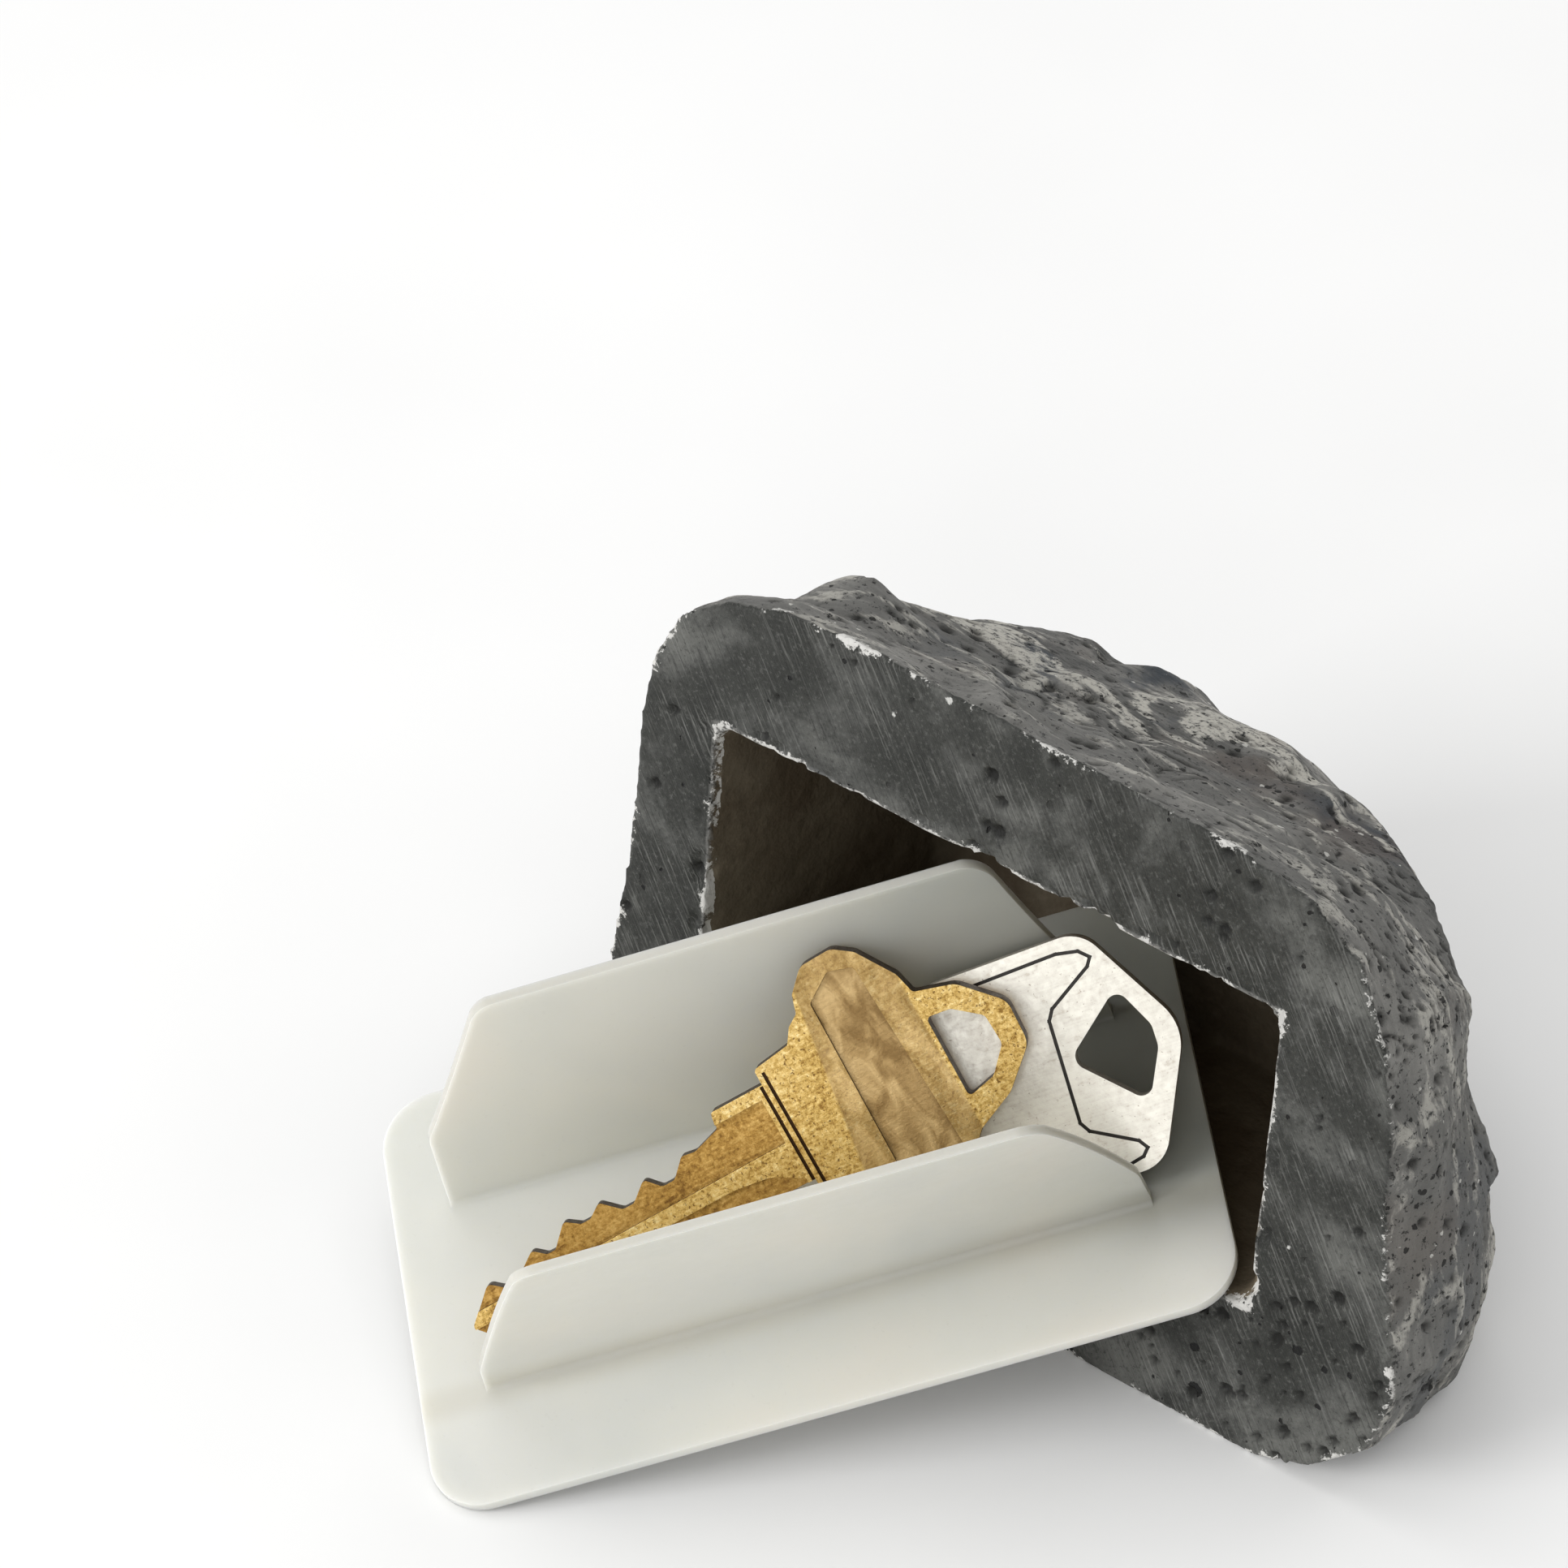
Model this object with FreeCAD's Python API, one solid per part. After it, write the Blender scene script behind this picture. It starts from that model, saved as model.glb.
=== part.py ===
import FreeCAD, Part
import Mesh
import MeshPart
import math
import os

# Hide a key rock, opened. The hollow rock lies on its flat side, the plug tray that closes the
# hole in its base leans out of that hole, and two door keys lie in the tray's trough.
# Millimetres, +Z up. The working frames are:
#   rock frame - the rock upright on its base: x along its length, y across, z up from the base
#   tray frame - x along the plate, y across it, z up from its underside
#   key frame  - x along the blade, y across the blade, z through the thickness
Vec = FreeCAD.Vector

# Rock. One outline is fitted into the box of each section: height, left, right, front.
# The back of every section follows the flat side that the rock lies on.
BASE_LEAN = 12.7
FLAT_SIDE_STOCK = 1.2
BASE_OUTLINE = (
    (-9.7, -22), (-8.3, -42), (-4.5, -55.5), (8, -61), (30, -60.8),
    (50, -60.2), (66, -56), (71.5, -42), (73, -25), (74.7, -10),
    (67, -1.6), (48, 1.2), (15, 1.2), (-5, -1.8), (-9.3, -9),
)
ROCK_SECTIONS = (
    (0, -10, 75, -61),
    (8, -11, 76, -56.5),
    (18, -9.5, 71, -50),
    (28, -5, 60.5, -47),
    (38, 1, 46, -42),
    (46, 8, 32, -36),
    (52, 14, 23, -29),
)
# faces broken off the cast boulder: a point on each and the direction it looks
BROKEN_FACES = (
    ((70, -14, 26), (0.82, 0.28, 0.5)),
    ((62, -47, 22), (0.6, -0.68, 0.42)),
    ((-4, -46, 18), (-0.72, -0.52, 0.46)),
    ((1, -18, 34), (-0.83, 0.1, 0.55)),
    ((20, -20, 51), (0.1, -0.1, 0.99)),
    ((36, -39.5, 39.5), (0.1, -0.75, 0.65)),
)
# lumps that stand out of the boulder: centre and radius
LUMPS = (
    ((4.5, -45, 12.5), 10.4),
    ((50, -40, 28), 5.2),
    ((60, -36.5, 14), 9),
    ((63.4, -23.5, 10.5), 12),
    ((64, -13, 10), 13),
    ((5, -28, 17), 15.5),
)
# Chiselled skin: rings of corners found along rays from an inner point. Each ring has its own
# angle above the base and number of corners, and every corner stands proud or sinks in a little.
RAY_CENTRE = (27, -28)
RAY_LEVEL = 0.05
RAY_REACH = 120
SKIN_RINGS = (
    (7, 44), (15, 44), (23.5, 44), (32, 40), (41, 34), (50, 30), (59, 24), (68, 18), (78, 10),
)
CORNER_WANDER = 0.28
RING_WANDER = 2.2
# waves that spread the chiselled corners unevenly: turn per corner, then per ring
WANDER_WAVE = (2.3, 1.0)
LIFT_WAVE = (1.7, 2.4)
RELIEF_WAVES = ((12.3, 1.9, 0), (18.6, -2.6, 1.1), (5.2, 3.3, 0.4))
RELIEF_HEIGHT = 0.75
RELIEF_PROUD = 0.8
RELIEF_SUNK = -1.4
RESTING_MARGIN = 3.0

# Key chamber, open through the base
MOUTH_LEFT = -0.3
MOUTH_RIGHT = 60.2
MOUTH_BACK = -15.0
MOUTH_FRONT = -46.1
MOUTH_CORNER = 2.0
CHAMBER_DEPTH = 27.0
CHAMBER_FLOOR_CORNER = 4.0
CHAMBER_LEFT_DRAFT = 5.0
CHAMBER_RIGHT_DRAFT = 9.0
CHAMBER_BACK_DRAFT = 1.6
CHAMBER_FRONT_DRAFT = 5.2

# Plug tray
PLATE_LENGTH = 72.3
PLATE_WIDTH = 41.6
PLATE_THICKNESS = 1.1
PLATE_CORNER = 5.0
WING_THICKNESS = 0.9
WING_TOP = 24.4
WING_FLARE = 4.0
NEAR_WING_Y = 11.4
FAR_WING_Y = 30.4
# left end of each wing: foot, then the height and x where its end starts to slope, and its top
NEAR_WING_END = (5.8, 4.5, 6.5, 15.4)
FAR_WING_END = (5.2, 11.0, 6.7, 15.6)
WING_RIGHT = 66.2
WING_RIGHT_SHOULDER = 6.5
WING_RIGHT_SLOPE = 5.2
WING_TIP_ROUND = 3.0
WING_ROOT_ROUND = 0.6

# Tray leaning on the lower lip of the mouth with one rounded corner on the ground
TRAY_PITCH = 17.62
TRAY_YAW = 45.9
TRAY_CORNER_X = 9.6
LIP_GAP = 0.3
GROUND_GAP = 0.05

# Keys, cut from 2 mm blanks, lying on each other across the trough.
# Outlines are (x, y, corner radius) in the key frame.
KEY_THICKNESS = 2.0
KEY_GAP = 0.12
TROUGH_KEY_Y = 13.25
TROUGH_KEY_Z = 1.3

# Nickel key: x = 0 at the end of its head, blade towards -x
NICKEL_END_X = 73.2
NICKEL_ROW = 12.0
NICKEL_TURN = 4.0
NICKEL_TILT = 37.5
NICKEL_HEAD_HALF = 10.6
NICKEL_BLADE_HALF = 4.2
NICKEL_TIP_X = -56.0
NICKEL_SHOULDER_X = -26.5
NICKEL_HEAD = (
    (-20, -NICKEL_HEAD_HALF, 3), (-5.6, -NICKEL_HEAD_HALF, 3.2), (0, 0, 4.5),
    (-5.6, NICKEL_HEAD_HALF, 3.2), (-20, NICKEL_HEAD_HALF, 3),
)
NICKEL_BITTING = (
    (-30, NICKEL_BLADE_HALF, 0.4), (-30.6, 2.4, 0.3), (-34, 2.2, 0.5), (-36, 0.6, 0.5),
    (-38, 0.6, 0.5), (-40, 2.2, 0.4), (-42, 1.2, 0.5), (-44, 1.2, 0.5), (-46, 2.6, 0.4),
    (-48, 0.4, 0.5), (-50, 0.4, 0.5), (-51.6, 1.8, 0.4), (-53.4, 1.2, 0.5),
)
NICKEL_HOLE = ((-4.4, 5.0, 1), (-2.6, 1, 1.6), (-2.7, -1, 1.6), (-5, -5.2, 1), (-10.3, 0.4, 1.2))
NICKEL_GROOVE_LOW = -2.6
NICKEL_GROOVE_HIGH = -1.4
NICKEL_GROOVE_END_X = -28.0
NICKEL_GROOVE_DEPTH = 0.7
# fine line stamped round the head's hole
NICKEL_LINE = (
    (-18.5, 9.2), (-8.2, 9.4), (-6.3, 9.0), (-5.5, 8.2), (-6.0, 7.5), (-10.1, 5.1),
    (-10.7, 4.2), (-11.3, -4.9), (-10.8, -5.8), (-7.1, -8.0), (-6.6, -8.8), (-7.2, -9.4),
    (-9.2, -9.8),
)
LINE_WIDTH = 0.3
LINE_DEPTH = 0.2

# Brass key: x = 0 at the blade's tip
BRASS_TIP_X = 6.6
BRASS_TIP_ROW = 5.9
BRASS_TURN = 12.5
BRASS_TILT = 40.5
BRASS_BLADE_HALF = 4.65
BRASS_COLLAR_X = 32.6
BRASS_COLLAR_HALF = 5.7
BRASS_HEAD_BELOW = (
    (BRASS_COLLAR_X, -BRASS_COLLAR_HALF, 0.5), (35.9, -6.2, 0.4), (36.5, -8, 0.8),
    (38.1, -8.6, 0.8), (39.1, -11.4, 1.8), (43.3, -11.4, 2.2), (47.3, -7.6, 0.8),
)
BRASS_RING = (
    (51, -6, 1.8), (54.4, -3, 1.8), (54.6, 1, 1.8), (51.4, 4.4, 1.8),
)
BRASS_HEAD_ABOVE = (
    (47.9, 5.5, 0.4), (47.4, 7.5, 0.8), (45.2, 10.9, 0.8), (43.5, 12.1, 1.2),
    (40.5, 12, 1.2), (38.7, 10.2, 0.6), (38.2, 8.6, 0.4), (37.1, 7.9, 0.4), (36.2, 6.6, 0.3),
    (BRASS_COLLAR_X, 6.1, 0.4),
)
BRASS_BITTING = (
    (27.5, BRASS_BLADE_HALF, 0.3), (27.2, 3.1, 0.3), (24.6, 2.3, 0.8), (23.3, 2.5, 0.4),
    (21.8, 1, 0.5), (20.6, 1, 0.5), (19.4, 2.3, 0.4), (17.7, 0.9, 0.5), (16.6, 0.9, 0.5),
    (15, 2.4, 0.4), (13.7, 1.5, 0.4), (12.8, 1.5, 0.4), (11.5, 2.4, 0.4), (9.7, 0.6, 0.4),
    (8.9, 0.6, 0.4), (7.8, 1.5, 0.4), (5.4, -0.2, 0.4), (4.2, -0.2, 0.4), (3, 0.8, 0.5),
)
BRASS_HOLE = (
    (47.8, 3, 0.4), (50, 2.7, 1), (52.3, 0.8, 0.8), (52.4, -2, 0.8), (50.4, -4.1, 0.8),
    (47.7, -4.7, 0.4),
)
# recesses in the upper face: blank panel across the head, and the two milled sides of the blade
PANEL = (
    (39.7, 8.8, 0.4), (42.3, 10.5, 0.6), (44.5, 9.8, 0.6), (45.3, -8.6, 0.6), (39.4, -8.6, 0.6),
)
PANEL_DEPTH = 0.35
BLADE_ABOVE = (
    (-1, -0.9, 0), (31.9, -0.7, 0), (31.9, 3.5, 0), (26.8, 3.5, 0), (26.8, 6, 0), (-1, 6, 0),
)
BLADE_BELOW = (
    (-1, -6, 0), (31.9, -6, 0), (31.9, -4.2, 0), (29.4, -2.7, 4), (26, -2.2, 4), (-1, -2.2, 0),
)
BLADE_MILLING = 0.5
COLLAR_LINES = (((32.45, -6), (32.45, 4.4)), ((33.2, -6), (33.2, 5.4)))

# accuracy of the outlines that the parts are centred by and the boulder is faceted from
BOUNDS_ACCURACY = 0.05


def closed_curve(points):
    curve = Part.BSplineCurve()
    curve.interpolate(points, PeriodicFlag=True)
    return Part.Wire(curve.toShape())


def rounded_outline(points, z):
    """Closed outline of (x, y, corner radius) points at height z."""
    edges = []
    starts = []
    ends = []
    count = len(points)
    for i in range(count):
        corner = Vec(points[i][0], points[i][1], z)
        before = Vec(points[i - 1][0], points[i - 1][1], z)
        after = Vec(points[(i + 1) % count][0], points[(i + 1) % count][1], z)
        back = (before - corner).normalize()
        ahead = (after - corner).normalize()
        half_angle = back.getAngle(ahead) / 2
        radius = points[i][2]
        setback = radius / math.tan(half_angle)
        starts.append(corner + back * setback)
        ends.append(corner + ahead * setback)
        if radius > 0:
            to_centre = (back + ahead).normalize()
            depth = radius / math.sin(half_angle) - radius
            edges.append(Part.Arc(starts[i], corner + to_centre * depth, ends[i]).toShape())
    for i in range(count):
        edges.append(Part.makeLine(ends[i], starts[(i + 1) % count]))
    return Part.Wire(Part.__sortEdges__(edges))


def rounded_slab(points, z, height):
    return Part.Face(rounded_outline(points, z)).extrude(Vec(0, 0, height))


def rounded_rectangle(left, right, front, back, radius):
    corners = ((left, front), (right, front), (right, back), (left, back))
    return [(x, y, radius) for x, y in corners]


# ---------------------------------------------------------------- rock

def rock_section(height, left, right, front):
    back = FLAT_SIDE_STOCK - height * math.tan(math.radians(BASE_LEAN))
    xs = [p[0] for p in BASE_OUTLINE]
    ys = [p[1] for p in BASE_OUTLINE]
    scale_x = (right - left) / (max(xs) - min(xs))
    scale_y = (back - front) / (max(ys) - min(ys))
    points = []
    for x, y in BASE_OUTLINE:
        points.append(Vec(left + (x - min(xs)) * scale_x, front + (y - min(ys)) * scale_y, height))
    return closed_curve(points)


def broken_off(point, direction):
    """Block that removes everything beyond a broken face."""
    size = 120
    block = Part.makeBox(size, size, size, Vec(-size / 2, -size / 2, 0))
    turn = FreeCAD.Rotation(Vec(0, 0, 1), Vec(*direction))
    block.Placement = FreeCAD.Placement(Vec(*point), turn)
    return block


def key_chamber():
    mouth_overrun = 1.0
    wires = []
    for depth, corner in ((-mouth_overrun, MOUTH_CORNER), (CHAMBER_DEPTH, CHAMBER_FLOOR_CORNER)):
        share = depth / CHAMBER_DEPTH
        sides = rounded_rectangle(MOUTH_LEFT + CHAMBER_LEFT_DRAFT * share,
                                  MOUTH_RIGHT - CHAMBER_RIGHT_DRAFT * share,
                                  MOUTH_FRONT + CHAMBER_FRONT_DRAFT * share,
                                  MOUTH_BACK - CHAMBER_BACK_DRAFT * share, corner)
        wires.append(rounded_outline(sides, depth))
    return Part.makeLoft(wires, True, True)


def rock_placement():
    return FreeCAD.Placement(Vec(0, 0, 0), FreeCAD.Rotation(Vec(1, 0, 0), -(90 + BASE_LEAN)))


def boulder():
    """Smooth body with the rock's lumps and broken faces, standing on its base."""
    body = Part.makeLoft([rock_section(*section) for section in ROCK_SECTIONS], True, False)
    for centre, radius in LUMPS:
        body = body.fuse(Part.makeSphere(radius, Vec(*centre)))
    for point, direction in BROKEN_FACES:
        body = body.cut(broken_off(point, direction))
    return MeshPart.meshFromShape(Shape=body, LinearDeflection=BOUNDS_ACCURACY)


def height_over_ground(point):
    lean = math.radians(BASE_LEAN)
    return -point.y * math.cos(lean) - point.z * math.sin(lean)


def relief(around, ring):
    """Uneven height of the skin, from three crossing waves that never line up."""
    wave = sum(math.sin(a * around + b * ring + c) for a, b, c in RELIEF_WAVES)
    return max(RELIEF_SUNK, min(RELIEF_PROUD, RELIEF_HEIGHT * wave))


def ray_direction(around, above):
    return Vec(math.cos(around) * math.cos(above), math.sin(around) * math.cos(above),
               math.sin(above))


def surface_point(body, direction):
    """Where a ray from outside, aimed back at the inner point, meets the boulder."""
    start = Vec(*RAY_CENTRE, RAY_LEVEL) + direction * RAY_REACH
    hits = body.nearestFacetOnRay(tuple(start), tuple(direction.negative()))
    return Vec(*list(hits.values())[0])


def base_ring(body):
    """Corners of the sanded base with the angle of each round the rock."""
    count = SKIN_RINGS[0][1]
    corners = []
    for i in range(count):
        around = 2 * math.pi * i / count
        corner = surface_point(body, ray_direction(around, 0))
        corner.z = 0
        corners.append((around, corner))
    return corners


def skin_ring(body, ring):
    """Corners of one ring above the base, moved out or in by the relief, with their angles."""
    above, count = SKIN_RINGS[ring]
    corners = []
    for i in range(count):
        wander = CORNER_WANDER * math.sin(WANDER_WAVE[0] * i + WANDER_WAVE[1] * ring)
        around = 2 * math.pi * (i + wander) / count
        lift = RING_WANDER * math.sin(LIFT_WAVE[0] * i + LIFT_WAVE[1] * ring)
        direction = ray_direction(around, math.radians(above + lift))
        corner = surface_point(body, direction)
        if height_over_ground(corner) > RESTING_MARGIN:
            corner += direction * relief(around, ring)
        corners.append((around, corner))
    return corners


def facet(a, b, c):
    return Part.Face(Part.makePolygon([a, b, c, a]))


def stitched(lower, upper):
    """Triangles that join two rings, turning round the rock with whichever ring is behind."""
    facets = []
    i = 0
    j = 0
    while i < len(lower) or j < len(upper):
        low = lower[i % len(lower)][1]
        high = upper[j % len(upper)][1]
        next_low = lower[(i + 1) % len(lower)]
        next_high = upper[(j + 1) % len(upper)]
        low_angle = next_low[0] + 2 * math.pi * ((i + 1) // len(lower))
        high_angle = next_high[0] + 2 * math.pi * ((j + 1) // len(upper))
        if j >= len(upper) or (i < len(lower) and low_angle < high_angle):
            facets.append(facet(low, next_low[1], high))
            i += 1
        else:
            facets.append(facet(low, next_high[1], high))
            j += 1
    return facets


def chiselled(body):
    """The boulder with a skin of flat facets, closed by its base and a pole on top."""
    rings = [base_ring(body)] + [skin_ring(body, ring) for ring in range(len(SKIN_RINGS))]
    facets = []
    for lower, upper in zip(rings, rings[1:]):
        facets += stitched(lower, upper)
    pole = surface_point(body, Vec(0, 0, 1))
    top = [corner for _, corner in rings[-1]]
    for i in range(len(top)):
        facets.append(facet(top[i - 1], top[i], pole))
    rim = [corner for _, corner in rings[0]]
    facets.append(Part.Face(Part.makePolygon(rim + [rim[0]])))
    shell = Part.makeShell(facets)
    shell.sewShape()
    solid = Part.makeSolid(Part.Shell(shell.Faces))
    if solid.Volume < 0:
        solid.reverse()
    return solid


def rock_shell():
    body = chiselled(boulder()).cut(key_chamber())
    body.Placement = rock_placement()
    below = Part.makeBox(300, 300, 100, Vec(-150, -150, -100))
    return body.cut(below)


# ---------------------------------------------------------------- plug tray

def tray_placement():
    pitch = math.radians(TRAY_PITCH)
    yaw = math.radians(TRAY_YAW)
    lean = math.radians(BASE_LEAN)
    lip_y = -MOUTH_BACK * math.sin(lean)
    lip_z = -MOUTH_BACK * math.cos(lean)
    corner_rise = PLATE_CORNER * math.sin(pitch) * (math.sin(yaw) + math.cos(yaw) - 1)
    corner_z = GROUND_GAP - corner_rise
    corner_y = lip_y - (lip_z + LIP_GAP - corner_z) / math.tan(pitch)
    turn = FreeCAD.Rotation(Vec(1, 0, 0), TRAY_PITCH) * FreeCAD.Rotation(Vec(0, 0, 1), TRAY_YAW)
    return FreeCAD.Placement(Vec(TRAY_CORNER_X, corner_y, corner_z), turn)


def wing_sheet(root_y, outward):
    """Curved sheet along the plate: upright at its root, flaring outwards at its top."""
    base_z = PLATE_THICKNESS / 2
    rise = WING_TOP - base_z
    radius = (rise ** 2 + WING_FLARE ** 2) / (2 * WING_FLARE)
    centre_y = root_y + outward * radius
    edges = []
    rims = []
    for offset in (-WING_THICKNESS / 2, WING_THICKNESS / 2):
        ring = radius + offset
        points = []
        for share in (0, 0.5, 1):
            angle = share * math.asin(rise / radius)
            y = centre_y - outward * ring * math.cos(angle)
            points.append(Vec(0, y, base_z + ring * math.sin(angle)))
        edges.append(Part.Arc(*points).toShape())
        rims.append(points)
    edges.append(Part.makeLine(rims[0][0], rims[1][0]))
    edges.append(Part.makeLine(rims[0][2], rims[1][2]))
    profile = Part.Face(Part.Wire(Part.__sortEdges__(edges)))
    return profile.extrude(Vec(PLATE_LENGTH, 0, 0))


def wing_side_view(end):
    """Block whose side view is the wing's outline, with both ends sloped back."""
    foot, shoulder, shoulder_x, top_x = end
    over = WING_TOP + 1
    outline = [
        (foot, 0, 0),
        (WING_RIGHT, 0, 0),
        (WING_RIGHT, WING_RIGHT_SHOULDER, WING_TIP_ROUND),
        (WING_RIGHT - WING_RIGHT_SLOPE, WING_TOP - 0.1, WING_TIP_ROUND),
        (top_x, WING_TOP - 0.1, WING_TIP_ROUND),
        (shoulder_x, shoulder, WING_TIP_ROUND),
    ]
    block = rounded_slab(outline, -over * 2, over * 4)
    block.rotate(Vec(0, 0, 0), Vec(1, 0, 0), 90)
    return block


def key_tray():
    corners = rounded_rectangle(0, PLATE_LENGTH, 0, PLATE_WIDTH, PLATE_CORNER)
    tray = rounded_slab(corners, 0, PLATE_THICKNESS)
    for root_y, outward, end in ((NEAR_WING_Y, -1, NEAR_WING_END), (FAR_WING_Y, 1, FAR_WING_END)):
        tray = tray.fuse(wing_sheet(root_y, outward).common(wing_side_view(end)))
    tray = tray.removeSplitter()
    roots = [edge for edge in tray.Edges if is_wing_root(edge)]
    tray = tray.makeFillet(WING_ROOT_ROUND, roots)
    tray.Placement = tray_placement()
    return tray


def is_wing_root(edge):
    box = edge.BoundBox
    flat = abs(box.ZMin - PLATE_THICKNESS) < 0.01 and abs(box.ZMax - PLATE_THICKNESS) < 0.01
    along = box.XLength > PLATE_LENGTH / 2 and box.YLength < 0.01
    return flat and along and 1 < box.YMin < PLATE_WIDTH - 1


# ---------------------------------------------------------------- keys

def trough_placement(x, row, turn, tilt, layer):
    """Where a key lies: its place along the trough, its row up the slope, and its turn there."""
    slope = FreeCAD.Placement(Vec(0, TROUGH_KEY_Y, TROUGH_KEY_Z),
                              FreeCAD.Rotation(Vec(1, 0, 0), tilt))
    flat = FreeCAD.Placement(Vec(x, row, layer * (KEY_THICKNESS + KEY_GAP)),
                             FreeCAD.Rotation(Vec(0, 0, 1), turn))
    return tray_placement() * slope * flat


def milled_groove(points, depth):
    """Shallow flat-bottomed recess in the upper face of a blank."""
    return rounded_slab(points, KEY_THICKNESS - depth, depth + 1)


def stamped_line(points):
    """Fine line sunk into the upper face of a blank."""
    strokes = []
    for start, end in zip(points, points[1:]):
        along = Vec(end[0] - start[0], end[1] - start[1], 0)
        stroke = Part.makeBox(along.Length + LINE_WIDTH, LINE_WIDTH, 1,
                              Vec(-LINE_WIDTH / 2, -LINE_WIDTH / 2, 0))
        angle = math.degrees(math.atan2(along.y, along.x))
        stroke.Placement = FreeCAD.Placement(Vec(start[0], start[1], KEY_THICKNESS - LINE_DEPTH),
                                             FreeCAD.Rotation(Vec(0, 0, 1), angle))
        strokes.append(stroke)
    return strokes[0].multiFuse(strokes[1:]) if len(strokes) > 1 else strokes[0]


def nickel_outline():
    """Head, and a blade with its bitting on +y."""
    blade = NICKEL_BLADE_HALF
    tip = [(NICKEL_TIP_X, -1.2, 0.6), (NICKEL_TIP_X + 3.4, -blade, 0.8)]
    lower = [(NICKEL_SHOULDER_X, -blade, 1.5)]
    upper = [(NICKEL_SHOULDER_X, blade, 1.5)]
    return tip + lower + list(NICKEL_HEAD) + upper + list(NICKEL_BITTING)


def nickel_key():
    key = rounded_slab(nickel_outline(), 0, KEY_THICKNESS)
    key = key.cut(rounded_slab(NICKEL_HOLE, -1, KEY_THICKNESS + 2))
    groove = rounded_rectangle(NICKEL_TIP_X - 1, NICKEL_GROOVE_END_X, NICKEL_GROOVE_LOW,
                               NICKEL_GROOVE_HIGH, 0)
    key = key.cut(milled_groove(groove, NICKEL_GROOVE_DEPTH))
    key = key.cut(stamped_line(NICKEL_LINE))
    key.Placement = trough_placement(NICKEL_END_X, NICKEL_ROW, NICKEL_TURN, NICKEL_TILT, 0)
    return key


def brass_outline():
    """Head with its ring, and a blade with its bitting on +y."""
    tip = [(0, -2, 0.5), (2.4, -BRASS_BLADE_HALF, 1)]
    lower = [(BRASS_COLLAR_X, -BRASS_BLADE_HALF, 0)]
    upper = [(BRASS_COLLAR_X, BRASS_BLADE_HALF, 0)]
    head = list(BRASS_HEAD_BELOW + BRASS_RING + BRASS_HEAD_ABOVE)
    return tip + lower + head + upper + list(BRASS_BITTING)


def brass_key():
    key = rounded_slab(brass_outline(), 0, KEY_THICKNESS)
    key = key.cut(rounded_slab(BRASS_HOLE, -1, KEY_THICKNESS + 2))
    key = key.cut(milled_groove(PANEL, PANEL_DEPTH))
    for side in (BLADE_ABOVE, BLADE_BELOW):
        key = key.cut(milled_groove(side, BLADE_MILLING))
    for line in COLLAR_LINES:
        key = key.cut(stamped_line(line))
    key.Placement = trough_placement(BRASS_TIP_X, BRASS_TIP_ROW, BRASS_TURN, BRASS_TILT, 1)
    return key


def main():
    os.makedirs("parts", exist_ok=True)
    nodes = {
        "rock_shell": rock_shell(),
        "key_tray": key_tray(),
        "nickel_key": nickel_key(),
        "brass_key": brass_key(),
    }
    points = []
    for shape in nodes.values():
        points += shape.tessellate(BOUNDS_ACCURACY)[0]
    centre = Vec()
    centre.x = (min(p.x for p in points) + max(p.x for p in points)) / 2
    centre.y = (min(p.y for p in points) + max(p.y for p in points)) / 2
    for name, shape in nodes.items():
        shape.translate(centre.negative())
        shape.exportStep("parts/" + name + ".step")
        print(name, shape.ShapeType, len(shape.Solids), shape.isValid(), round(shape.Volume, 1))
    print("origin", centre)


main()
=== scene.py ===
import bpy
import bmesh
import itertools
import math
import numpy as np
from mathutils import Matrix, Vector, kdtree


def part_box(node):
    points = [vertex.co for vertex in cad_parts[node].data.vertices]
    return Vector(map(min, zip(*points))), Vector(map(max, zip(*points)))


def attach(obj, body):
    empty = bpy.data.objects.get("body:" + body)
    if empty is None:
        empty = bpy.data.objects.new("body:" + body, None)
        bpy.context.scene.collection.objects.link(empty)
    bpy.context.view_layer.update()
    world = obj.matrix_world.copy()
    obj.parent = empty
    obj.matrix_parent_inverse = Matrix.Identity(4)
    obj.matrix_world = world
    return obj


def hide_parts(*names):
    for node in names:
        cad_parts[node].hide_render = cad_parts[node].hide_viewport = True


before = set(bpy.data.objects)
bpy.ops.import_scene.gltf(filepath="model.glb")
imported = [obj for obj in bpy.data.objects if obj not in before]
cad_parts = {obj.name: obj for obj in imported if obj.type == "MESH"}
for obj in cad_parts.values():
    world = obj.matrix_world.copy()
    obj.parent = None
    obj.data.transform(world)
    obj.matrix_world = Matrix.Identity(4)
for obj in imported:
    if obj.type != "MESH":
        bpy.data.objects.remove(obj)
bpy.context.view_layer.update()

MM = 0.001

# Where the rock's own upright frame stands in the row frame, in millimetres, and how far it leans
ROCK_X = 29.326
ROCK_Y = 5.385
BASE_LEAN = math.radians(12.7)
# The chamber's mouth, as left, right, front and back, and how far each moves in by its floor
MOUTH = (-0.3, 60.2, -46.1, -15.0)
MOUTH_DRAFT = (5.0, -9.0, 5.2, -1.6)
CHAMBER_DEPTH = 27.0
# Where the tray lies, and the line in it that the keys are turned about
TRAY_PITCH = math.radians(17.62)
TRAY_YAW = math.radians(45.9)
TRAY_CORNER = (9.6, -45.536, -0.577)
KEY_THICKNESS = 2.0
KEY_PIVOT = (0, 13.25, 1.3)


# ------------------------------------------------------------------ noise

def unit_vectors(count, seed):
    rng = np.random.default_rng(seed)
    vectors = rng.normal(size=(count, 3))
    return vectors / np.linalg.norm(vectors, axis=1)[:, None]


NOISE_CELLS = 256
GRADIENTS = unit_vectors(NOISE_CELLS, 5)


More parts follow.
